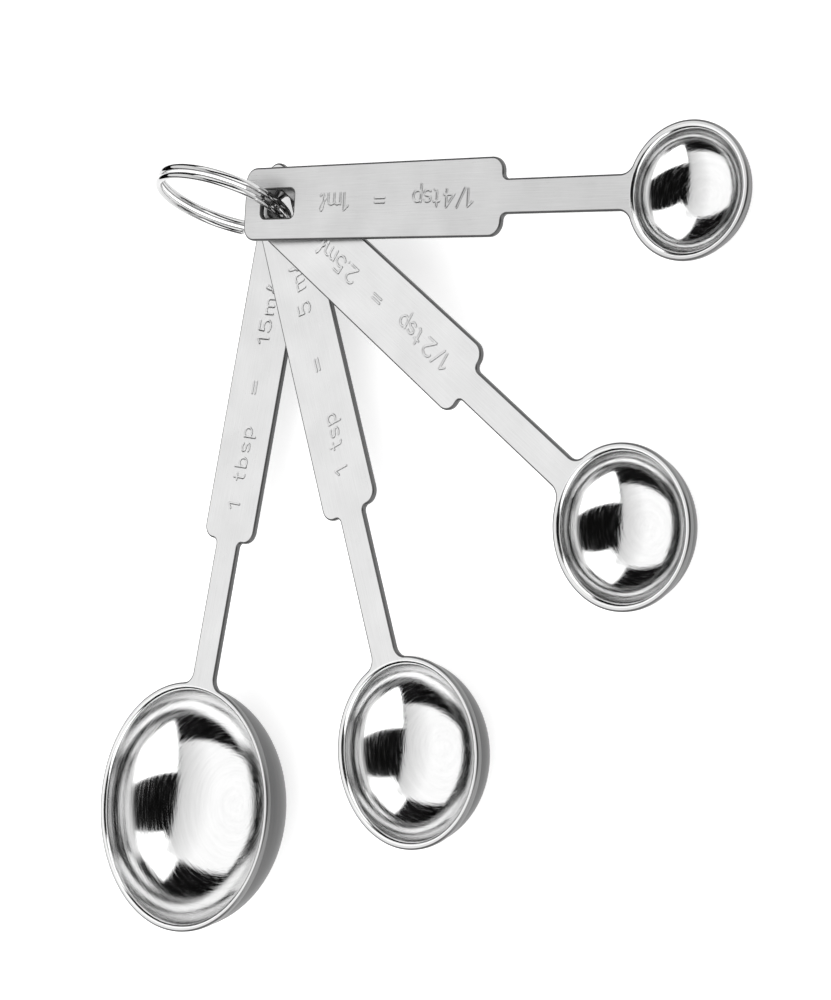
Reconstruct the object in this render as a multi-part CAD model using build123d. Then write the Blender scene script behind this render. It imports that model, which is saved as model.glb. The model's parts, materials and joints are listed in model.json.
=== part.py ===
from build123d import *
import math
import os

# A set of four stamped steel measuring spoons on a split ring, fanned out on a table.
# Each spoon is one sheet: a tab with a slot, a narrower neck and a round bowl.
# Millimetres and degrees, +Z up, the origin on the table below the middle of the set.

# Sheet and tab, the same on every spoon
sheet = 1.0
tab_width = 13.4
tab_corner = 2.6
shoulder_corner = 2.5
shoulder_hollow = 1.0
neck_width = 5.9
neck_flare = 2.4
slot_length = 8.0
slot_width = 5.2
slot_corner = 1.0
slot_to_tab_end = 8.25

# Rim of the bowls
lip_overhang = 0.4
lip_inner_round = 0.75
lip_outer_round = 0.3

# Split ring: one wire in two turns that lie side by side, with a short step between them
wire = 1.25
coil_gap = 0.45
ring_radius = 12.5
ring_heading_angle = 180.5
ring_lean_angle = 19.0
step_middle_angle = -95.0
step_span_angle = 40.0

# The spoons from the lowest to the highest on the ring, with the free height below each tab
spoons = ("tablespoon", "teaspoon", "half_teaspoon", "quarter_teaspoon")
free_below = {"tablespoon": 1.35, "teaspoon": 2.3, "half_teaspoon": 1.7, "quarter_teaspoon": 1.8}
bowl_radius = {"tablespoon": 21.8, "teaspoon": 15.15, "half_teaspoon": 12.0, "quarter_teaspoon": 9.55}
bowl_depth = {"tablespoon": 14.7, "teaspoon": 10.0, "half_teaspoon": 7.9, "quarter_teaspoon": 6.15}
tab_length = {"tablespoon": 70.2, "teaspoon": 66.6, "half_teaspoon": 63.5, "quarter_teaspoon": 59.2}
neck_length = {"tablespoon": 27.4, "teaspoon": 27.5, "half_teaspoon": 26.3, "quarter_teaspoon": 24.3}
heading_angle = {"tablespoon": -91.0, "teaspoon": -63.5, "half_teaspoon": -31.0, "quarter_teaspoon": 2.0}
side_shift = {"tablespoon": -0.45, "teaspoon": -0.3, "half_teaspoon": 0.45, "quarter_teaspoon": -0.3}
ring_seat_gap = {"tablespoon": 3.95, "teaspoon": 2.3, "half_teaspoon": 0.8, "quarter_teaspoon": 0.6}

# What follows from them
lip_reach = sheet + lip_overhang
coil_offset = (wire + coil_gap) / 2
lean = math.radians(ring_lean_angle)
toward_slots = Vector(1, 0, 0).rotate(Axis.Z, ring_heading_angle + 180)
across_ring = toward_slots.rotate(Axis.Z, 90)
up_ring = across_ring * math.sin(lean) + Vector(0, 0, 1) * math.cos(lean)
ring_axis = toward_slots.cross(up_ring)
ring_height = wire / 2 + ring_radius * math.cos(lean)


def ring_point(angle, offset):
    """The point of the ring at an angle from the slots, upwards, and an offset along its axis."""
    turn = math.radians(angle)
    spoke = toward_slots * math.cos(turn) + up_ring * math.sin(turn)
    return Vector(0, 0, ring_height) + spoke * ring_radius + ring_axis * offset


def ring_tangent(angle):
    turn = math.radians(angle)
    return up_ring * math.cos(turn) - toward_slots * math.sin(turn)


def flat_turn(start, end, offset):
    """Arcs of at most a half turn from one angle to another, in a plane square to the axis."""
    count = math.ceil((end - start) / 180)
    angles = [start + (end - start) * i / count for i in range(count + 1)]
    return [
        TangentArc(ring_point(a, offset), ring_point(b, offset), tangent=ring_tangent(a))
        for a, b in zip(angles, angles[1:])
    ]


def step_over(start, end):
    """Two arcs that carry the wire from the first turn's plane to the second's."""
    p0, p1 = ring_point(start, -coil_offset), ring_point(end, coil_offset)
    t0, t1 = ring_tangent(start), ring_tangent(end)
    chord, tangents = p1 - p0, t0 + t1
    bend = 2 * (1 - t0.dot(t1))
    along = chord.dot(tangents)
    handle = (math.sqrt(along**2 + bend * chord.dot(chord)) - along) / bend
    middle = (p0 + t0 * handle + p1 - t1 * handle) / 2
    middle_tangent = (p1 - t1 * handle - p0 - t0 * handle).normalized()
    return [
        TangentArc(p0, middle, tangent=t0),
        TangentArc(middle, p1, tangent=middle_tangent),
    ]


def ring_path():
    first = step_middle_angle + step_span_angle / 2
    edges = flat_turn(first, first + 360 - step_span_angle, -coil_offset)
    edges += step_over(first + 360 - step_span_angle, first + 360)
    edges += flat_turn(first + 360, first + 720 - step_span_angle, coil_offset)
    return Wire(edges)


def split_ring():
    path = ring_path()
    start = Plane(origin=path @ 0, z_dir=path % 0)
    return sweep(start * Circle(wire / 2), path=path)


def least_coil_gap(path):
    """The free space between points of the wire that lie more than a few diameters apart along it."""
    count = 480
    points = [path @ (i / count) for i in range(count + 1)]
    apart = math.ceil(count * 6 * wire / path.length)
    nearest = min(
        (points[i] - points[j]).length
        for i in range(count + 1)
        for j in range(i + apart, count + 1)
    )
    return nearest - wire


def tab_heights():
    """Height of each tab's top face over the table at its place on the ring."""
    heights, top = {}, wire
    for name in spoons:
        top += free_below[name] + sheet
        heights[name] = top
    return heights


def pivot(name):
    """Where the ring's centre line passes the middle of this spoon's sheet."""
    middle = tab_heights()[name] - sheet / 2
    rise = (middle - ring_height) / up_ring.Z
    reach = math.sqrt(ring_radius**2 - rise**2)
    return Vector(0, 0, ring_height) + toward_slots * reach + up_ring * rise


def slot_middle(name):
    """From the pivot to the middle of the slot, with the ring near the slot's outer end."""
    return slot_length / 2 - coil_offset - wire / 2 - ring_seat_gap[name]


def tab_end(name):
    return slot_middle(name) - slot_to_tab_end


def spoon_reach(name):
    """From the pivot to the middle of the bowl."""
    lip = bowl_radius[name] + lip_reach
    return tab_end(name) + tab_length[name] + neck_length[name] + lip


def pitch(name):
    """The rise of a spoon toward its bowl, at which the bowl's underside just meets the table."""
    top, reach = tab_heights()[name], spoon_reach(name)
    wide, deep = bowl_radius[name] + sheet, bowl_depth[name]
    low = top - sheet
    a = reach**2 - wide**2 + deep**2
    b = low * reach
    c = low**2 - deep**2
    return math.degrees(math.asin((math.sqrt(b**2 - a * c) - b) / a))


def outline(name):
    """Tab, neck and a disc up to the lip's flat top, with rounded corners and the slot."""
    end = tab_end(name)
    shoulder = end + tab_length[name]
    reach = spoon_reach(name)
    disc = bowl_radius[name] + lip_reach - lip_outer_round
    corner = (Align.MIN, Align.CENTER)
    tab = Pos(end, 0) * Rectangle(tab_length[name], tab_width, align=corner)
    neck = Pos(shoulder, 0) * Rectangle(reach - shoulder, neck_width, align=corner)
    plan = tab + neck + Pos(reach, 0) * Circle(disc)

    def near(x, y):
        return plan.vertices().filter_by(
            lambda v: abs(v.X - x) < sheet and abs(abs(v.Y) - y) < sheet / 10
        )

    plan = fillet(near(end, tab_width / 2), tab_corner)
    plan = fillet(near(shoulder, tab_width / 2), shoulder_corner)
    plan = fillet(near(shoulder, neck_width / 2), shoulder_hollow)
    root = reach - math.sqrt(disc**2 - (neck_width / 2) ** 2)
    plan = fillet(near(root, neck_width / 2), neck_flare)
    plan -= Pos(reach, 0) * Circle(bowl_radius[name] + lip_inner_round)
    return plan - Pos(slot_middle(name), 0) * RectangleRounded(slot_length, slot_width, slot_corner)


def bowl(name):
    """Half of an ellipse inside and out, turned round the bowl's axis, under a rounded lip."""
    r, d = bowl_radius[name], bowl_depth[name]
    lip, inner, outer = r + lip_reach, lip_inner_round, lip_outer_round
    wall = r + sheet
    profile = Wire(
        [
            EllipticalCenterArc((0, -inner), r, d - inner, start_angle=270, arc_size=90),
            CenterArc((r + inner, -inner), inner, start_angle=180, arc_size=-90),
            Line((r + inner, 0), (lip - outer, 0)),
            CenterArc((lip - outer, -outer), outer, start_angle=90, arc_size=-90),
            Line((lip, -outer), (lip, outer - sheet)),
            CenterArc((lip - outer, outer - sheet), outer, start_angle=0, arc_size=-90),
            Line((lip - outer, -sheet), (wall, -sheet)),
            EllipticalCenterArc((0, -sheet), wall, d, start_angle=270, arc_size=90),
            Line((0, -sheet - d), (0, -d)),
        ]
    )
    return revolve(Plane.XZ * make_face(profile), axis=Axis.Z)


def spoon(name):
    """One spoon where it lies, turned about its pivot and pitched so that its bowl rests."""
    flat = extrude(outline(name), amount=-sheet)
    whole = flat + Pos(spoon_reach(name), 0, 0) * bowl(name)
    seat = pivot(name)
    place = Pos(seat.X, seat.Y, tab_heights()[name]) * Rot(Z=heading_angle[name]) * Rot(Y=-pitch(name))
    return place * Pos(0, side_shift[name], 0) * whole


def build():
    """Every piece by name, with the origin below the middle of the set."""
    pieces = {name: spoon(name) for name in spoons}
    pieces["split_ring"] = split_ring()
    box = Compound([piece.solid() for piece in pieces.values()]).bounding_box()
    centre = Vector(box.center().X, box.center().Y, 0)
    return {name: Pos(-centre) * piece for name, piece in pieces.items()}, centre


pieces, centre = build()
os.makedirs("parts", exist_ok=True)
for name, piece in pieces.items():
    export_step(piece, f"parts/{name}.step")

for name in spoons:
    r, d = bowl_radius[name], bowl_depth[name]
    capacity = math.pi * r**2 * (2 * (d - lip_inner_round) / 3 + lip_inner_round) / 1000
    place = pivot(name) - centre
    print(f"{name}: {capacity:.2f} ml, pitch {pitch(name):.2f}, pivot {place.X:.3f} {place.Y:.3f}")
print(f"ring centre {-centre.X:.3f} {-centre.Y:.3f} {ring_height:.3f}")
print(f"least gap of the ring's wire to itself {least_coil_gap(ring_path()):.3f}")
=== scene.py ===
import bpy
import bmesh
import json
import numpy as np
from mathutils import Matrix, Vector


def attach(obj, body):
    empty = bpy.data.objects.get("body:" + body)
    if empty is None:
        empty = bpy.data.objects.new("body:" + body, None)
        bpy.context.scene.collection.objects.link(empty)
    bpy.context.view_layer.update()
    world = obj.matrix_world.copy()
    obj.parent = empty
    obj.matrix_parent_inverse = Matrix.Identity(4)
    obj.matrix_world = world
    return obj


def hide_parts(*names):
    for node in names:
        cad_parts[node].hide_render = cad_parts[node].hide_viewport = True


# Four stamped steel measuring spoons on a split ring, laid out in a fan on a white table.
# Lengths are in millimetres and angles in degrees. The studio, the camera and the meshes as they are
# written are in metres.

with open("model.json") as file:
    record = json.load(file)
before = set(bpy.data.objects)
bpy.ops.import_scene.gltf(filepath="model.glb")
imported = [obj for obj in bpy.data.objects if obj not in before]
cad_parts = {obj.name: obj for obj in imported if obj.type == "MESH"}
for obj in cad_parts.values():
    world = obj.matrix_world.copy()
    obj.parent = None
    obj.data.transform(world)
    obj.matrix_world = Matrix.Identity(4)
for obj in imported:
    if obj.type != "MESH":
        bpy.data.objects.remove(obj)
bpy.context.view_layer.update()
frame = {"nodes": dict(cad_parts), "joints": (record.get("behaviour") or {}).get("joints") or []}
millimetre = 0.001  # in metres
weld = 1e-6  # metres, well under the distance between any two points that differ
joints = {joint["child"]: joint for joint in frame["joints"]}
print("frame loaded:", len(frame["nodes"]), "nodes")

# What all the spoons share
sheetMetal = {
    "sheet": 1.0,
    "tabWidth": 13.4,
    "tabCorner": 2.6,
    "shoulderCorner": 2.5,
    "shoulderHollow": 1.0,
    "neckWidth": 5.9,
    "neckFlare": 2.4,
    "slotLength": 8.0,
    "slotWidth": 5.2,
    "slotCorner": 1.0,
    "slotToEnd": 8.25,
    "slotSurround": 1.6,  # from the slot to the first even row of the tab's grid
    "lipOverhang": 0.4,
    "lipRound": 0.75,
    "edgeRound": 0.28,
    "edgeBand": 0.05,  # flat strip that keeps the shading of the rounded edges crisp
    "stationStep": 0.14,  # distance between the lines of the tab's grid where it is stamped
    "stampBand": 3.45,  # half width of the stamped strip along the tab
    "neckBand": 2.3,
}

# Points or rows along each stretch of a spoon's grids
fineness = {
    "edgeRound": 6,
    "tabEnd": 9,
    "tabCorner": 12,
    "besideSlot": 14,
    "shoulderCorner": 10,
    "shoulderFlat": 4,
    "shoulderHollow": 7,
    "neck": 26,
    "neckFlare": 12,
    "besideBand": 5,
    "roundSlot": 9,
    "slotEighth": 24,
    "slotQuarter": 40,
    "slotEnd": 40,
    "slotSide": 60,
    "slotHalfEnd": 16,
    "lipFace": 4,
    "halfBowl": 104,
    "bowlFall": 44,
    "bowlMouth": 9,
}

spoonSizes = {
    "tablespoon": {
        "bowlRadius": 21.8, "bowlDepth": 14.7, "tabLength": 70.2, "neckLength": 27.4,
        "heading": -91.0, "sideShift": -0.45, "seatGap": 3.95, "letterGap": 1.1,
        "marks": (("1", 64.1), ("tbsp", 58.6), ("=", 42.0), ("15ml", 32.5)),
    },
    "teaspoon": {
        "bowlRadius": 15.15, "bowlDepth": 10.0, "tabLength": 66.6, "neckLength": 27.5,
        "heading": -63.5, "sideShift": -0.3, "seatGap": 2.3, "letterGap": 0.8,
        "marks": (("1", 59.3), ("tsp", 54.5), ("=", 39.2), ("5", 27.9), ("ml", 23.2)),
    },
    "half_teaspoon": {
        "bowlRadius": 12.0, "bowlDepth": 7.9, "tabLength": 63.5, "neckLength": 26.3,
        "heading": -31.0, "sideShift": 0.45, "seatGap": 0.8, "letterGap": 0.5,
        "marks": (("1/2", 57.9), ("tsp", 50.1), ("=", 38.4), ("2.5ml", 30.7)),
    },
    "quarter_teaspoon": {
        "bowlRadius": 9.55, "bowlDepth": 6.15, "tabLength": 59.2, "neckLength": 24.3,
        "heading": 2.0, "sideShift": -0.3, "seatGap": 0.6, "letterGap": 0.45,
        "marks": (("1/4", 53.1), ("tsp", 45.9), ("=", 33.7), ("1", 25.4), ("ml", 23.6)),
    },
}

splitRing = {
    "wire": 1.25,
    "coilGap": 0.45,
    "radius": 12.5,
    "heading": 180.5,
    "lean": 19.0,
    "stepMiddle": -95.0,
    "stepSpan": 40.0,
    "endRound": 0.14,
    "endFace": 0.5,  # share of the wire's section that its flat cut ends keep
    "aroundPoints": 28,
    "alongPoints": 620,
}

stamping = {
    "height": 3.05,  # of a capital
    "wide": 1.3,  # how much wider each sign is drawn than it stands below
    "baseline": 1.52,
    "stroke": 0.15,  # half the width of a stroke
    "wall": 0.14,
    "depth": 0.13,
    "leastSquare": 1e-9,  # of a stroke's length, so that one that is a mere point counts too
}


def arc(centre, radius, start, end, count):
    # Points of a circle from one angle to another, with the direction away from its centre.
    turn = np.radians(np.linspace(start, end, count))
    spoke = np.c_[np.cos(turn), np.sin(turn)]
    return np.asarray(centre) + radius * spoke, spoke


def line(start, end, count, normal):
    # Evenly spaced points between two ends, with one normal for all.
    share = np.linspace(0, 1, count)[:, None]
    points = (1 - share) * np.asarray(start, float) + share * np.asarray(end, float)
    return points, np.tile(normal, (count, 1))


def chain(*pieces):
    # Runs one stretch after another, and keeps each shared end once.
    points = [pieces[0][0]] + [p[1:] for p, _ in pieces[1:]]
    normals = [pieces[0][1]] + [n[1:] for _, n in pieces[1:]]
    return np.vstack(points), np.vstack(normals)


def hollowed(curve):
    # The same points with the metal on the other side: a hollow for a round.
    return curve[0], -curve[1]


def mirrored(curve):
    # The same curve on the other side of the spoon's middle line.
    flip = np.array([1.0, -1.0])
    return curve[0] * flip, curve[1] * flip


def inset(curve, distance):
    # The curve moved inwards, against its normals.
    return curve[0] - curve[1] * distance


def passedAlong(points):
    # Distance from the first point of a run to each of its points.
    return np.concatenate([[0], np.cumsum(np.linalg.norm(np.diff(points, axis=0), axis=1))])


def smoothed(share):
    # Eases in and out between 0 and 1: three squares less two cubes.
    return share * share * (3 - 2 * share)


def ruled(inner, outer, count):
    # Straight rows between two curves with as many points.
    share = np.linspace(0, 1, count)[:, None, None]
    return (1 - share) * inner + share * outer


def coons(first, last, left, right):
    # Coons patch: the surface ruled between two sides, plus the one ruled between the other two,
    # less the one that is bilinear in the four corners.
    s = np.linspace(0, 1, len(left))[:, None, None]
    t = np.linspace(0, 1, len(first))[None, :, None]
    across = (1 - s) * first[None] + s * last[None]
    along = (1 - t) * left[:, None] + t * right[:, None]
    corners = (1 - s) * ((1 - t) * first[0] + t * first[-1]) + s * ((1 - t) * last[0] + t * last[-1])
    return across + along - corners


def raised(plan, height=0.0):
    # A flat plan as points in space, at one height or at a height for each point.
    return np.concatenate([plan, np.broadcast_to(height, plan.shape[:-1])[..., None]], -1)


def swept(curve, profile):
    # A profile of (distance inwards, height) carried along a curve in the plane.
    points, normals = curve
    inwards, height = profile[:, 0], profile[:, 1]
    plan = points[:, None] - normals[:, None] * inwards[None, :, None]
    return raised(plan, height[None])


def revolved(centre, turn, radius, height):
    # A profile of radius and height turned round an upright axis.
    spoke = np.stack([np.cos(turn), np.sin(turn)], -1)
    plan = np.array([centre, 0.0]) + spoke[:, None] * radius[None, :, None]
    return raised(plan, height[None])


class Shell:
    # Collects grids of points, and joins them at their shared borders into one closed mesh.
    def __init__(self):
        self.points, self.quads, self.kinds, self.total = [], [], [], 0

    def add(self, grid, kind=0, loop=False):
        # Makes a face of each four neighbours; the last row of a loop also joins its first.
        rows, columns = grid.shape[:2]
        index = np.arange(rows * columns).reshape(rows, columns) + self.total
        if loop:
            index = np.vstack([index, index[:1]])
        corners = [index[:-1, :-1], index[1:, :-1], index[1:, 1:], index[:-1, 1:]]
        quads = np.stack(corners, -1).reshape(-1, 4)
        self.quads.append(quads)
        self.kinds.append(np.full(len(quads), kind))
        self.points.append(grid.reshape(-1, 3))
        self.total += rows * columns

    def mesh(self, name, place, materials):
        # Places the points, welds those that meet and turns all faces outwards.
        points = np.vstack(self.points) @ place[:3, :3].T + place[:3, 3]
        mesh = bpy.data.meshes.new(name)
        mesh.from_pydata((points * millimetre).tolist(), [], np.vstack(self.quads).tolist())
        for material in materials:
            mesh.materials.append(material)
        mesh.polygons.foreach_set("material_index", np.concatenate(self.kinds).astype(np.int32))
        work = bmesh.new()
        work.from_mesh(mesh)
        bmesh.ops.remove_doubles(work, verts=work.verts, dist=weld)
        bmesh.ops.recalc_face_normals(work, faces=work.faces)
        openEdges = sum(1 for edge in work.edges if not edge.is_manifold)
        work.to_mesh(mesh)
        work.free()
        mesh.polygons.foreach_set("use_smooth", np.ones(len(mesh.polygons), bool))
        # the place on the piece itself, in its own axes, for the patterns of its finish
        where = np.empty(len(mesh.vertices) * 3, np.float32)
        mesh.vertices.foreach_get("co", where)
        local = (where.reshape(-1, 3) / millimetre - place[:3, 3]) @ place[:3, :3]
        pattern = mesh.attributes.new("onPiece", "FLOAT_VECTOR", "POINT")
        pattern.data.foreach_set("vector", local.astype(np.float32).ravel())
        mesh.update()
        print(f"{name}: {len(mesh.vertices)} points, {openEdges} open edges")
        piece = bpy.data.objects.new(name, mesh)
        bpy.context.scene.collection.objects.link(piece)
        return piece


def stroke(*corners):
    # A run of straight strokes by its corners.
    return np.array(corners, float)


def bend(cx, cy, rx, ry, start, end, count=10):
    # Part of an ellipse, as a run of short straight strokes.
    turn = np.radians(np.linspace(start, end, count))
    return np.c_[cx + rx * np.cos(turn), cy + ry * np.sin(turn)]


# Each sign is its width and its strokes, in shares of a capital's height
signs = {
    "1": (0.30, [stroke((0.02, 0.74), (0.26, 1.0), (0.26, 0.0))]),
    "2": (0.56, [np.vstack([bend(0.28, 0.72, 0.26, 0.28, 165, -30), [(0.02, 0.0), (0.54, 0.0)]])]),
    "4": (0.60, [stroke((0.44, 0.0), (0.44, 1.0), (0.02, 0.30), (0.58, 0.30))]),
    "5": (0.56, [np.vstack([
        [(0.50, 1.0), (0.10, 1.0), (0.06, 0.56)],
        bend(0.26, 0.32, 0.28, 0.32, 115, -150, 14),
    ])]),
    "/": (0.46, [stroke((0.02, -0.04), (0.44, 1.04))]),
    ".": (0.12, [stroke((0.05, 0.0), (0.07, 0.03))]),
    "=": (0.56, [stroke((0.0, 0.36), (0.56, 0.36)), stroke((0.0, 0.62), (0.56, 0.62))]),
    "t": (0.34, [
        np.vstack([[(0.14, 0.94), (0.14, 0.14)], bend(0.26, 0.14, 0.12, 0.14, 180, 280, 6)]),
        stroke((0.0, 0.66), (0.32, 0.66)),
    ]),
    "b": (0.48, [stroke((0.03, 1.0), (0.03, 0.0)), bend(0.23, 0.32, 0.23, 0.32, -150, 150, 14)]),
    "s": (0.42, [np.vstack([
        bend(0.21, 0.49, 0.18, 0.17, 25, 250, 9),
        bend(0.21, 0.16, 0.19, 0.16, 70, -150, 9),
    ])]),
    "p": (0.48, [stroke((0.03, 0.66), (0.03, -0.34)), bend(0.23, 0.33, 0.23, 0.32, -150, 150, 14)]),
    "m": (0.78, [
        stroke((0.03, 0.66), (0.03, 0.0)),
        np.vstack([bend(0.21, 0.46, 0.18, 0.19, 165, 0, 8), [(0.39, 0.0)]]),
        np.vstack([bend(0.57, 0.46, 0.18, 0.19, 165, 0, 8), [(0.75, 0.0)]]),
    ]),
    "l": (0.34, [stroke(
        (0.0, 0.28), (0.12, 0.46), (0.26, 0.72), (0.32, 0.92), (0.27, 1.0), (0.20, 0.92),
        (0.14, 0.62), (0.11, 0.28), (0.14, 0.06), (0.22, 0.0), (0.34, 0.12),
    )]),
}


def markStrokes(name):
    # Ends of all the straight strokes of a spoon's marks, which read from the bowl to the ring.
    size, end = spoonSizes[name], spoonPlan(name)["end"]
    high, wide = stamping["height"], stamping["wide"]
    starts, ends = [], []
    for word, start in size["marks"]:
        reach = 0.0
        for sign in word:
            width, strokes = signs[sign]
            for run in strokes:
                along = end + start - reach - run[:, 0] * high * wide
                placed = np.c_[along, stamping["baseline"] - run[:, 1] * high]
                starts.append(placed[:-1])
                ends.append(placed[1:])
            reach += width * high * wide + size["letterGap"]
    return np.vstack(starts), np.vstack(ends)


def pressedDepth(plan, name):
    # Depth below the tab by the distance to the nearest stroke: full inside it, eased out over its wall.
    starts, ends = markStrokes(name)
    nearest = np.full(plan.shape[:-1], np.inf)
    for a, b in zip(starts, ends):
        along = b - a
        share = np.clip(((plan - a) @ along) / max(along @ along, stamping["leastSquare"]), 0, 1)
        nearest = np.minimum(nearest, np.linalg.norm(plan - a - share[..., None] * along, axis=-1))
    inside = np.clip((stamping["stroke"] + stamping["wall"] - nearest) / (2 * stamping["wall"]), 0, 1)
    return -stamping["depth"] * smoothed(inside)


def spoonPlan(name):
    # Where one spoon's slot, tab, neck and bowl lie along it, from the ring's wire toward the bowl.
    m, size = sheetMetal, spoonSizes[name]
    coil = (splitRing["wire"] + splitRing["coilGap"]) / 2
    slot = m["slotLength"] / 2 - coil - splitRing["wire"] / 2 - size["seatGap"]
    end = slot - m["slotToEnd"]
    shoulder = end + size["tabLength"]
    lip = size["bowlRadius"] + m["sheet"] + m["lipOverhang"]
    bowl = shoulder + size["neckLength"] + lip
    return {"slot": slot, "end": end, "shoulder": shoulder, "lip": lip, "bowl": bowl}


def spoonPlace(name):
    # The spoon's own axes in the frame: at its joint, turned to its heading, and pitched until the
    # bowl's underside meets the table.
    m, size, plan = sheetMetal, spoonSizes[name], spoonPlan(name)
    seat = np.array(joints[name]["pos_m"]) / millimetre + [0, 0, m["sheet"] / 2]
    wide, deep, low = size["bowlRadius"] + m["sheet"], size["bowlDepth"], seat[2] - m["sheet"]
    a = plan["bowl"] ** 2 - wide**2 + deep**2
    b = low * plan["bowl"]
    rise = np.arcsin((np.sqrt(b**2 - a * (low**2 - deep**2)) - b) / a)
    turn = np.array(Matrix.Rotation(np.radians(size["heading"]), 3, "Z") @ Matrix.Rotation(-rise, 3, "Y"))
    place = np.eye(4)
    place[:3, :3] = turn
    place[:3, 3] = seat + turn @ np.array([0, size["sideShift"], 0])
    return place


def edgeProfile():
    # The sheet's edge from its top round to its underside: (distance inwards, height).
    r, thick, band = sheetMetal["edgeRound"], sheetMetal["sheet"], flatBand()
    upper = arc((r, -r), r, 90, 180, fineness["edgeRound"])[0]
    lower = arc((r, r - thick), r, 180, 270, fineness["edgeRound"])[0]
    return np.vstack([[(band, 0.0)], upper, lower, [(band, -thick)]])


def flatBand():
    # From the sheet's outline to the border of its flat faces.
    return sheetMetal["edgeRound"] + sheetMetal["edgeBand"]


def halfOutline(name, startX):
    # One side of the spoon from the middle of the tab's end to the middle of the bowl's front,
    # as the stretch round the slot, the tab, the shoulder, the neck, the flare and the lip.
    m, plan, fine = sheetMetal, spoonPlan(name), fineness
    half, neck, endCorner = m["tabWidth"] / 2, m["neckWidth"] / 2, m["tabCorner"]
    corner, hollow, flare = m["shoulderCorner"], m["shoulderHollow"], m["neckFlare"]
    end, shoulder, bowl, lip = plan["end"], plan["shoulder"], plan["bowl"], plan["lip"]
    flareX = bowl - np.sqrt((lip + flare) ** 2 - (neck + flare) ** 2)
    lean = np.degrees(np.arctan2(neck + flare, bowl - flareX))
    stations = int(round((shoulder - corner - startX) / m["stationStep"]))
    sideways = (0.0, 1.0)
    return {
        "slotEnd": chain(
            line((end, 0), (end, half - endCorner), fine["tabEnd"], (-1.0, 0.0)),
            arc((end + endCorner, half - endCorner), endCorner, 180, 90, fine["tabCorner"]),
            line((end + endCorner, half), (startX, half), fine["besideSlot"], sideways),
        ),
        "tab": line((startX, half), (shoulder - corner, half), stations, sideways),
        "shoulder": chain(
            arc((shoulder - corner, half - corner), corner, 90, 0, fine["shoulderCorner"]),
            line((shoulder, half - corner), (shoulder, neck + hollow), fine["shoulderFlat"], (1.0, 0.0)),
            hollowed(arc((shoulder + hollow, neck + hollow), hollow, 180, 270, fine["shoulderHollow"])),
        ),
        "neck": line((shoulder + hollow, neck), (flareX, neck), fine["neck"], sideways),
        "flare": hollowed(arc((flareX, neck + flare), flare, 270, 360 - lean, fine["neckFlare"])),
        "lip": arc((bowl, 0), lip, 180 - lean, 0, fine["halfBowl"]),
        "lean": lean,
    }


def tabRows(alongX, reach, edge, centreColumns):
    # Rows across the spoon: even columns in a strip along the middle, then straight to each side.
    centre = np.linspace(-1, 1, centreColumns)[None, :] * reach[:, None]
    middle = np.stack([np.broadcast_to(alongX[:, None], centre.shape), centre], -1)
    share = np.linspace(0, 1, fineness["besideBand"])[1:][None, :, None]
    upper = (1 - share) * middle[:, -1:] + share * edge[:, None]
    lower = upper[:, ::-1] * np.array([1.0, -1.0])
    return np.concatenate([lower, middle, upper], 1)


def flatFaces(name, innerRadius, height, startX):
    # The flat side of the sheet, upper or lower, as grids that share their borders: along the tab and
    # the neck, round the slot, the root of the bowl, and the ring of the lip.
    m, plan, outline, band = sheetMetal, spoonPlan(name), halfOutline(name, startX), flatBand()
    edge = {key: inset(outline[key], band) for key in ("slotEnd", "tab", "shoulder", "neck", "flare")}
    tabX, neckX = outline["tab"][0][:, 0], outline["neck"][0][:, 0]
    bends = outline["shoulder"][0]
    passed = passedAlong(bends)
    passed /= passed[-1]
    shoulderX = bends[0, 0] + passed * (bends[-1, 0] - bends[0, 0])
    shoulderReach = m["stampBand"] + smoothed(passed) * (m["neckBand"] - m["stampBand"])
    alongX = np.concatenate([tabX, shoulderX[1:], neckX[1:]])
    reach = np.concatenate([
        np.full(len(tabX), m["stampBand"]), shoulderReach[1:], np.full(len(neckX) - 1, m["neckBand"]),
    ])
    edges = np.vstack([edge["tab"], edge["shoulder"][1:], edge["neck"][1:]])
    body = tabRows(alongX, reach, edges, int(round(2 * m["stampBand"] / m["stationStep"])))

    # round the slot: from its rim out to the tab's end and to the tab's first row
    firstRow, upperEnd = body[0], edge["slotEnd"]
    outer = np.vstack([firstRow[:-1], upperEnd[::-1][:-1], (upperEnd * [1, -1])[:-1]])
    hole = slotLoop(name, len(firstRow), len(upperEnd))
    around = ruled(inset(hole, -band), outer, fineness["roundSlot"])

    # the root: from the neck's last row to the arc of the bowl's mouth between the two flares
    lastRow, lean = body[-1], np.radians(outline["lean"])
    lipRadii = np.linspace(plan["lip"] - band, innerRadius, fineness["lipFace"])
    spoke = np.array([-np.cos(lean), np.sin(lean)])
    down = np.array([plan["bowl"], 0.0]) + spoke * lipRadii[1:, None]
    right = np.vstack([edge["flare"], down])
    mouthTurn = np.pi - lean * np.linspace(-1, 1, len(lastRow))
    mouth = np.array([plan["bowl"], 0.0]) + innerRadius * np.c_[np.cos(mouthTurn), np.sin(mouthTurn)]
    mouth[0], mouth[-1] = right[-1] * [1, -1], right[-1]
    root = coons(lastRow, mouth, right * [1, -1], right)

    # the lip: round the front of the bowl from one flare to the other
    lipTurn = np.concatenate([
        np.linspace(np.pi - lean, 0, fineness["halfBowl"]),
        -np.linspace(0, np.pi - lean, fineness["halfBowl"])[1:],
    ])
    lipFace = revolved(plan["bowl"], lipTurn, lipRadii, np.zeros(len(lipRadii)))[..., :2]
    allTurns = np.concatenate([lipTurn, mouthTurn[1:-1]])
    return [raised(plane, height) for plane in (body, around, root, lipFace)], allTurns, outline, hole


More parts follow.
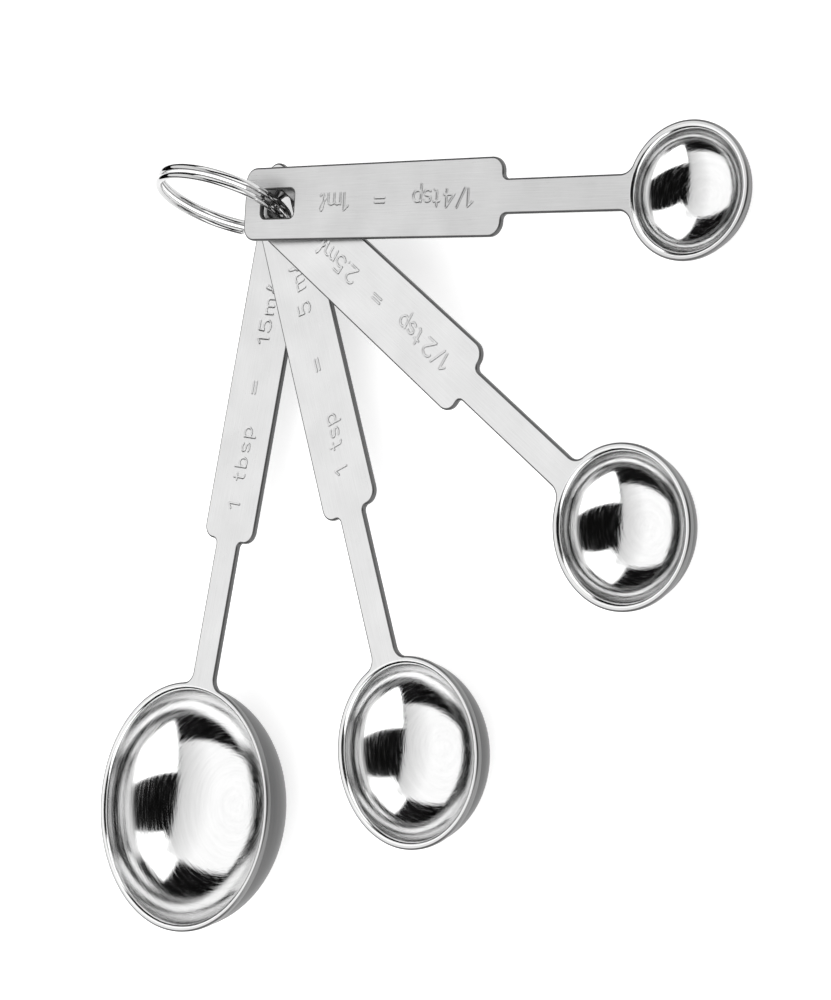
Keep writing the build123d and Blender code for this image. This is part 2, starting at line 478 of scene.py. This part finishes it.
def slotLoop(name, rowPoints, endPoints):
    # The slot's rim as one loop from its lower right corner, with as many points as the loop round it.
    m, plan, fine = sheetMetal, spoonPlan(name), fineness
    long, wide, corner = m["slotLength"] / 2, m["slotWidth"] / 2, m["slotCorner"]
    middle = np.array([plan["slot"], 0.0])

    def rounding(sx, sy, start, end, count):
        # Part of a corner's circle, the corner given by the signs of its sides.
        return arc(middle + [sx * (long - corner), sy * (wide - corner)], corner, start, end, count)

    def spread(curve, count):
        # The same run with points at even distances along it.
        points, normals = curve
        passed = passedAlong(points)
        at = np.linspace(0, passed[-1], count)
        place = np.stack([np.interp(at, passed, points[:, i]) for i in (0, 1)], -1)
        facing = np.stack([np.interp(at, passed, normals[:, i]) for i in (0, 1)], -1)
        return place, facing / np.linalg.norm(facing, axis=1, keepdims=True)

    right = spread(chain(
        rounding(1, -1, -45, 0, fine["slotEighth"]),
        line(middle + [long, corner - wide], middle + [long, wide - corner], fine["slotEnd"], (1.0, 0.0)),
        rounding(1, 1, 0, 45, fine["slotEighth"]),
    ), rowPoints)
    upper = spread(chain(
        rounding(1, 1, 45, 90, fine["slotEighth"]),
        line(middle + [long - corner, wide], middle + [corner - long, wide], fine["slotSide"], (0.0, 1.0)),
        rounding(-1, 1, 90, 180, fine["slotQuarter"]),
        line(middle + [-long, wide - corner], middle + [-long, 0], fine["slotHalfEnd"], (-1.0, 0.0)),
    ), endPoints)
    lower = mirrored(upper)
    points = np.vstack([right[0][:-1], upper[0][:-1], lower[0][::-1][:-1]])
    normals = np.vstack([right[1][:-1], upper[1][:-1], lower[1][::-1][:-1]])
    return points, normals


def makeSpoon(name, materials):
    # One closed sheet: flat faces above and below, a rounded edge swept round them and round the slot,
    # and the bowl's two walls turned round its middle.
    m, size, plan = sheetMetal, spoonSizes[name], spoonPlan(name)
    startX = plan["slot"] + m["slotLength"] / 2 + m["slotSurround"]
    radius, depth, thick, lipRound = size["bowlRadius"], size["bowlDepth"], m["sheet"], m["lipRound"]
    satin, polished, outside, rim, cut, lipEdge = range(6)  # as in the list of materials
    shell = Shell()

    # upper side, with the stamped marks
    (body, around, root, lipFace), turns, outline, hole = flatFaces(name, radius + lipRound, 0.0, startX)
    tabPart = body[..., 0] < plan["shoulder"] - m["shoulderCorner"]
    body[..., 2] += np.where(tabPart, pressedDepth(body[..., :2], name), 0.0)
    shell.add(body, satin)
    shell.add(np.swapaxes(around, 0, 1), satin, loop=True)
    shell.add(root, satin)
    shell.add(lipFace, rim)

    # underside
    (body, around, root, lipFace), lowerTurns, _, _ = flatFaces(name, radius + thick, -thick, startX)
    for grid in (body, root, lipFace):
        shell.add(grid, outside)
    shell.add(np.swapaxes(around, 0, 1), outside, loop=True)

    # the sheet's edge all round, and the slot's
    profile = edgeProfile()
    for keys, kind in ((("slotEnd", "tab", "shoulder", "neck", "flare"), cut), (("lip",), lipEdge)):
        side = chain(*(outline[key] for key in keys))
        for half in (side, mirrored(side)):
            shell.add(swept(half, profile), kind)
    shell.add(swept(hole, profile * [-1, 1]), cut, loop=True)

    # the bowl: a rounded mouth and half an ellipse inside, half an ellipse outside
    fall = np.radians(np.linspace(0, 90, fineness["bowlFall"]))
    mouth = arc((radius + lipRound, -lipRound), lipRound, 90, 180, fineness["bowlMouth"])[0]
    below = np.c_[radius * np.cos(fall), -lipRound - (depth - lipRound) * np.sin(fall)]
    inner = np.vstack([mouth[:-1], below])
    outer = np.c_[(radius + thick) * np.cos(fall), -thick - depth * np.sin(fall)]
    shell.add(revolved(plan["bowl"], turns, inner[:, 0], inner[:, 1]), polished, loop=True)
    shell.add(revolved(plan["bowl"], lowerTurns, outer[:, 0], outer[:, 1]), outside, loop=True)

    spoon = shell.mesh(name + "_pressing", spoonPlace(name), materials)
    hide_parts(name)
    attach(spoon, name)


def ringPath():
    # Angle and offset along the wire: a turn in one plane, a smooth step over, a turn beside it.
    r = splitRing
    start = r["stepMiddle"] + r["stepSpan"] / 2
    angle = np.linspace(start, start + 720 - r["stepSpan"], r["alongPoints"])
    share = np.clip((angle - (start + 360 - r["stepSpan"])) / r["stepSpan"], 0, 1)
    return np.radians(angle), (2 * smoothed(share) - 1) * (r["wire"] + r["coilGap"]) / 2


def makeRing(material):
    # A round section carried along the wire, drawn on the spoke and on the direction square to it.
    r = splitRing
    angle, offset = ringPath()
    lean, heading = np.radians(r["lean"]), np.radians(r["heading"] + 180)
    slots = np.array([np.cos(heading), np.sin(heading), 0.0])
    across = np.array([-np.sin(heading), np.cos(heading), 0.0])
    up = across * np.sin(lean) + np.array([0, 0, np.cos(lean)])
    axis = np.cross(slots, up)
    # its centre, by way of a spoon's joint, which lies on the middle line between the turns
    seat = np.array(joints["tablespoon"]["pos_m"]) / millimetre
    rise = (seat[2] - r["wire"] / 2) / up[2] - r["radius"]
    middle = seat - up * rise - slots * np.sqrt(r["radius"] ** 2 - rise**2)
    spoke = slots * np.cos(angle)[:, None] + up * np.sin(angle)[:, None]
    centre = middle + spoke * r["radius"] + axis * offset[:, None]
    second = np.cross(np.gradient(centre, axis=0), spoke)
    second /= np.linalg.norm(second, axis=1, keepdims=True)
    # the cut ends: a flat face, a small bevel, then the full wire
    passed = passedAlong(centre)
    toEnd = np.minimum(passed, passed[-1] - passed)
    girth = np.sqrt(1 - (1 - np.clip(toEnd / r["endRound"], 0, 1)) ** 2 * (1 - r["endFace"]))
    turn = np.radians(np.linspace(0, 360, r["aroundPoints"], endpoint=False))
    section = spoke[:, None] * np.cos(turn)[None, :, None] + second[:, None] * np.sin(turn)[None, :, None]
    tube = centre[:, None] + section * (r["wire"] / 2 * girth)[:, None, None]
    cap = np.ones((1, r["aroundPoints"], 1))
    tube = np.concatenate([centre[:1, None] * cap, tube, centre[-1:, None] * cap])
    shell = Shell()
    shell.add(np.swapaxes(tube, 0, 1), loop=True)
    ring = shell.mesh("split_ring_wire", np.eye(4), [material])
    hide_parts("split_ring")
    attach(ring, "ring")
    print(f"ring: {passed[-1]:.0f} mm of wire")


class Flow:
    # A socket that takes part in Python expressions; each operator adds its Math node.
    def __init__(self, graph, socket):
        self.graph, self.socket = graph, socket

    def combine(self, operation, *values):
        return self.graph.node("ShaderNodeMath", {"operation": operation}, dict(enumerate(values)))

    def __add__(self, other):
        return self.combine("ADD", self, other)

    def __sub__(self, other):
        return self.combine("SUBTRACT", self, other)

    def __rsub__(self, other):
        return self.combine("SUBTRACT", other, self)

    def __mul__(self, other):
        return self.combine("MULTIPLY", self, other)

    def __truediv__(self, other):
        return self.combine("DIVIDE", self, other)

    __radd__, __rmul__ = __add__, __mul__


class Graph:
    def __init__(self, tree):
        self.tree = tree
        tree.nodes.clear()

    def node(self, kind, settings=None, inputs=None, output=0):
        # Adds a node: its settings first, then the values or links of its sockets.
        made = self.tree.nodes.new(kind)
        for key, value in (settings or {}).items():
            setattr(made, key, value)
        for key, value in (inputs or {}).items():
            if isinstance(value, Flow):
                self.tree.links.new(value.socket, made.inputs[key])
            else:
                made.inputs[key].default_value = value
        return Flow(self, made.outputs[output]) if made.outputs else None

    def clamped(self, value):
        return self.node("ShaderNodeClamp", None, {"Value": value})

    def vector(self, operation, *values, output="Vector"):
        return self.node("ShaderNodeVectorMath", {"operation": operation}, dict(enumerate(values)), output)

    def noise(self, where, scale, detail=2.0, rough=0.5):
        settings = {"Vector": where, "Scale": scale, "Detail": detail, "Roughness": rough}
        return self.node("ShaderNodeTexNoise", None, settings)

    def onPiece(self):
        return self.node("ShaderNodeAttribute", {"attribute_name": "onPiece"}, output="Vector")


def newMaterial(name):
    # An empty material with the graph of its nodes.
    material = bpy.data.materials.new(name)
    material.use_nodes = True
    return material, Graph(material.node_tree)


def finishSteel(graph, shade, roughness, height, strength, relief):
    # Bare metal of one grey with a fine relief.
    colour = graph.node("ShaderNodeCombineColor", None, {0: shade, 1: shade, 2: shade})
    bump = {"Strength": strength, "Distance": relief, "Height": height}
    normal = graph.node("ShaderNodeBump", None, bump)
    surface = graph.node("ShaderNodeBsdfPrincipled", None, {
        "Base Color": colour, "Metallic": 1.0, "Roughness": roughness, "Normal": normal,
    })
    graph.node("ShaderNodeOutputMaterial", None, {"Surface": surface})


satinFinish = {
    # the quarter teaspoon's lower shade is painted shade: its tab is darkened for the dimmer light that
    # its tilt reflects
    "shade": {"tablespoon": 0.64, "teaspoon": 0.64, "half_teaspoon": 0.64, "quarter_teaspoon": 0.53},
    "roughness": 0.30,
    "grainScale": (0.12, 4.5, 2.0), "grainDetail": 4.0, "grainRough": 0.62,
    "grainShade": 0.18, "grainRoughness": 0.16,
    "cloudScale": 0.11, "cloudDetail": 3.0, "cloudShade": 0.14,
    "strength": 0.18, "relief": 0.00004,  # relief in metres
}


def satinSteel(name):
    # Grain drawn out along the tab: noise stretched along the piece, over faint clouds.
    f = satinFinish
    material, graph = newMaterial("satinSteel_" + name)
    where = graph.onPiece()
    drawn = graph.vector("MULTIPLY", where, f["grainScale"])
    grain = graph.noise(drawn, 1.0, f["grainDetail"], f["grainRough"])
    cloud = graph.noise(where, f["cloudScale"], f["cloudDetail"])
    shade = f["shade"][name] + (grain - 0.5) * f["grainShade"] + (cloud - 0.5) * f["cloudShade"]
    roughness = f["roughness"] + (grain - 0.5) * f["grainRoughness"]
    finishSteel(graph, shade, roughness, grain, f["strength"], f["relief"])
    return material


# Scratches of the turned finishes, and the broad bands under them
turning = {
    "detail": 3.0, "rough": 0.6, "relief": 0.00002,
    "bandAround": 0.8, "bandOut": 0.9,
    "scuffGain": 2.0, "scuffFrom": 0.9,  # about the stronger half of the scratches dulls the polish
    "rimGain": 2.5, "rimFrom": 0.35,  # where the polish starts to dull, in radii of the bowl
}

turnedFinishes = {
    "polishedBowl": {
        "shade": 0.74, "turnShade": 0.09, "roughness": 0.06, "turnRoughness": 0.28, "rimRoughness": 0.07,
        "aroundScale": 3.0, "outScale": 2.4, "strength": 0.60,
    },
    # the outer wall's dark grey is painted reflection: the steel is darkened to stand for a grey surface
    # that the outside mirrors
    "outerWall": {
        "shade": 0.12, "turnShade": 0.03, "roughness": 0.36, "turnRoughness": 0.12, "rimRoughness": 0.0,
        "aroundScale": 1.6, "outScale": 5.0, "strength": 0.20,
    },
    "rim": {
        "shade": 0.60, "turnShade": 0.05, "roughness": 0.16, "turnRoughness": 0.10, "rimRoughness": 0.0,
        "aroundScale": 2.2, "outScale": 4.0, "strength": 0.10,
    },
    # the cut edges' dark grey is painted shade: the edges are darkened for the dim light they reflect
    "cutEdge": {
        "shade": 0.13, "turnShade": 0.03, "roughness": 0.38, "turnRoughness": 0.10, "rimRoughness": 0.0,
        "aroundScale": 2.2, "outScale": 4.0, "strength": 0.10,
    },
    # the lip's side is painted shade too: a mid grey between the bright lip and the darkened wall
    "lipEdge": {
        "shade": 0.20, "turnShade": 0.03, "roughness": 0.30, "turnRoughness": 0.10, "rimRoughness": 0.0,
        "aroundScale": 2.2, "outScale": 4.0, "strength": 0.10,
    },
}


def turnedCoordinates(graph, centre, aroundScale, outScale):
    # Coordinates that stretch a noise into circles round the bowl's middle: direction in two of them,
    # and in the third the distance from its axis plus the height, which grows along the bowl's profile.
    offset = graph.vector("SUBTRACT", graph.onPiece(), centre)
    flat = graph.vector("MULTIPLY", offset, (1.0, 1.0, 0.0))
    spoke = graph.vector("NORMALIZE", flat)
    across = graph.vector("LENGTH", flat, output="Value")
    out = across + graph.node("ShaderNodeSeparateXYZ", None, {0: offset}, output="Z")
    lifted = graph.node("ShaderNodeCombineXYZ", None, {"Z": out * outScale})
    around = graph.vector("MULTIPLY", spoke, (aroundScale, aroundScale, 0.0))
    return graph.vector("ADD", around, lifted), out


def turnedSteel(name, finish):
    # Fine turned scratches: noise drawn out round the bowl, and a duller polish toward its rim.
    t, f = turning, turnedFinishes[finish]
    material, graph = newMaterial(finish + "_" + name)
    middle = (spoonPlan(name)["bowl"], 0.0, 0.0)
    place, out = turnedCoordinates(graph, middle, f["aroundScale"], f["outScale"])
    scratch = graph.noise(place, 1.0, t["detail"], t["rough"])
    broad, _ = turnedCoordinates(graph, middle, t["bandAround"], t["bandOut"])
    band = graph.noise(broad, 1.0)
    shade = f["shade"] + (scratch - 0.5) * f["turnShade"] + (band - 0.5) * f["turnShade"]
    outShare = out / spoonSizes[name]["bowlRadius"]
    nearRim = graph.clamped((outShare - t["rimFrom"]) * t["rimGain"]) * f["rimRoughness"]
    scuffs = graph.clamped(scratch * t["scuffGain"] - t["scuffFrom"]) * f["turnRoughness"]
    finishSteel(graph, shade, f["roughness"] + scuffs + nearRim, scratch, f["strength"], t["relief"])
    return material


wireFinish = {
    "shade": 0.50, "markShade": 0.06,
    "roughness": 0.02, "markRoughness": 0.03,
    "markScale": (900.0, 900.0, 500.0), "markDetail": 3.0,
    "strength": 0.03, "relief": 0.00002,
}


def wireChrome():
    # A bright wire with faint drawing marks and small scuffs.
    f = wireFinish
    material, graph = newMaterial("wireChrome")
    where = graph.node("ShaderNodeTexCoord", output="Object")
    marks = graph.noise(graph.vector("MULTIPLY", where, f["markScale"]), 1.0, f["markDetail"])
    shade = f["shade"] + (marks - 0.5) * f["markShade"]
    roughness = f["roughness"] + marks * f["markRoughness"]
    finishSteel(graph, shade, roughness, marks, f["strength"], f["relief"])
    return material


# The table, the sky and what hangs over them, in metres
studio = {
    "floorReach": 3.0,
    "floorDrop": 0.00005,  # keeps the table's face clear of the bowls' undersides
    "floorColour": (0.90, 0.90, 0.90, 1.0),
    "floorGlow": 0.62,
    "skyDark": 0.004,
    "skyFill": 0.45,
    "horizonTop": 0.42, "horizonSide": 0.35, "horizonGain": 5.0,  # bounds of the white in mirrored rays
    "panelHeight": 0.40,
    "rampMiddle": 0.1, "rampRise": 4.0,  # a dimming panel's ramp: at X = 0, and for each metre toward -X
}

# Soft panels over the table, by their corners, with the brightness of each and how far it dims toward +X
panels = {
    "panelLeft": {
        "corners": ((0.0, 0.30), (-0.80, 0.30), (-0.80, -0.375), (0.0, -0.375)),
        "brightness": 1.32, "dimming": 0.45,
    },
    "panelBack": {
        "corners": ((-0.13, 0.30), (0.06, 0.16), (0.80, 0.62), (0.80, 1.25), (-0.22, 1.25)),
        "brightness": 1.7, "dimming": 0.0,
    },
    "panelFront": {
        "corners": ((0.015, -0.16), (0.015, -1.05), (1.1, -1.05), (1.1, -0.16)),
        "brightness": 2.1, "dimming": 0.0,
    },
}


def addStage(name, corners, height, material):
    # One flat face, level, that isn't part of the set.
    mesh = bpy.data.meshes.new(name)
    mesh.from_pydata([(x, y, height) for x, y in corners], [], [tuple(range(len(corners)))])
    mesh.materials.append(material)
    made = bpy.data.objects.new(name, mesh)
    bpy.context.scene.collection.objects.link(made)
    return made


def seenDirectly(graph):
    # 1 for rays from the camera and for mirrored ones, 0 for those that light the piece.
    kinds = ("Is Camera Ray", "Is Glossy Ray", "Is Transmission Ray")
    camera, glossy, clear = (graph.node("ShaderNodeLightPath", output=kind) for kind in kinds)
    return graph.clamped(camera + glossy + clear), camera


def makeFloor():
    # Matt white, with a glow for the camera and for mirrors that takes it to the white of the photo.
    material, graph = newMaterial("whiteTable")
    seen, _ = seenDirectly(graph)
    diffuse = graph.node("ShaderNodeBsdfDiffuse", None, {"Color": studio["floorColour"]})
    glow = graph.node("ShaderNodeEmission", None, {"Strength": seen * studio["floorGlow"]})
    both = graph.node("ShaderNodeAddShader", None, {0: diffuse, 1: glow})
    graph.node("ShaderNodeOutputMaterial", None, {"Surface": both})
    reach = studio["floorReach"]
    corners = [(x * reach, y * reach) for x, y in ((-1, -1), (1, -1), (1, 1), (-1, 1))]
    addStage("table", corners, -studio["floorDrop"], material)


def makePanels():
    # Each glows at its brightness, less its dimming by a straight ramp along X.
    for name, panel in panels.items():
        material, graph = newMaterial(name)
        where = graph.node("ShaderNodeTexCoord", output="Object")
        along = graph.node("ShaderNodeSeparateXYZ", None, {0: where}, output="X")
        ramp = graph.clamped(studio["rampMiddle"] - along * studio["rampRise"])
        strength = (ramp * panel["dimming"] + (1 - panel["dimming"])) * panel["brightness"]
        glow = graph.node("ShaderNodeEmission", None, {"Strength": strength})
        graph.node("ShaderNodeOutputMaterial", None, {"Surface": glow})
        addStage(name, panel["corners"], studio["panelHeight"], material).visible_camera = False


def makeSky():
    # White to the camera; to mirrored rays dark, but for the horizon on the side of the camera.
    world = bpy.data.worlds.new("studio")
    bpy.context.scene.world = world
    world.use_nodes = True
    graph = Graph(world.node_tree)
    seen, camera = seenDirectly(graph)
    heading = graph.node("ShaderNodeTexCoord", output="Generated")
    aside = graph.node("ShaderNodeSeparateXYZ", None, {0: heading}, output="X")
    height = graph.node("ShaderNodeSeparateXYZ", None, {0: heading}, output="Z")
    low = graph.clamped((studio["horizonTop"] - height) * studio["horizonGain"])
    near = graph.clamped((aside - studio["horizonSide"]) * studio["horizonGain"])
    reflected = studio["skyDark"] + low * near * (1.0 - studio["skyDark"])
    strength = camera + (seen - camera) * reflected + (1.0 - seen) * studio["skyFill"]
    sky = graph.node("ShaderNodeBackground", None, {"Color": (1, 1, 1, 1), "Strength": strength})
    graph.node("ShaderNodeOutputWorld", None, {"Surface": sky})


viewpoint = {
    "eye": (0.22743, 0.0311, 0.2562),
    "forward": (-0.6677, -0.0610, -0.7419),
    "up": (-0.1057, 0.9943, 0.0135),
    "lens": 69.5,
    "nearest": 0.01,
    "farthest": 20.0,
}


def makeCamera():
    # Its axes by cross products: right from up and back, then up anew from back and right.
    back = -Vector(viewpoint["forward"]).normalized()
    right = Vector(viewpoint["up"]).cross(back).normalized()
    turn = Matrix((right, back.cross(right), back)).transposed().to_4x4()
    camera = bpy.data.objects.new("camera", bpy.data.cameras.new("camera"))
    camera.data.lens = viewpoint["lens"]
    camera.data.clip_start, camera.data.clip_end = viewpoint["nearest"], viewpoint["farthest"]
    camera.matrix_world = Matrix.Translation(viewpoint["eye"]) @ turn
    bpy.context.scene.collection.objects.link(camera)
    bpy.context.scene.camera = camera


for name in spoonSizes:
    makeSpoon(name, [satinSteel(name)] + [turnedSteel(name, finish) for finish in turnedFinishes])
print("spoons made")
makeRing(wireChrome())
makeFloor()
makePanels()
makeSky()
makeCamera()
bpy.context.scene.view_settings.view_transform = "Standard"
print("studio made")
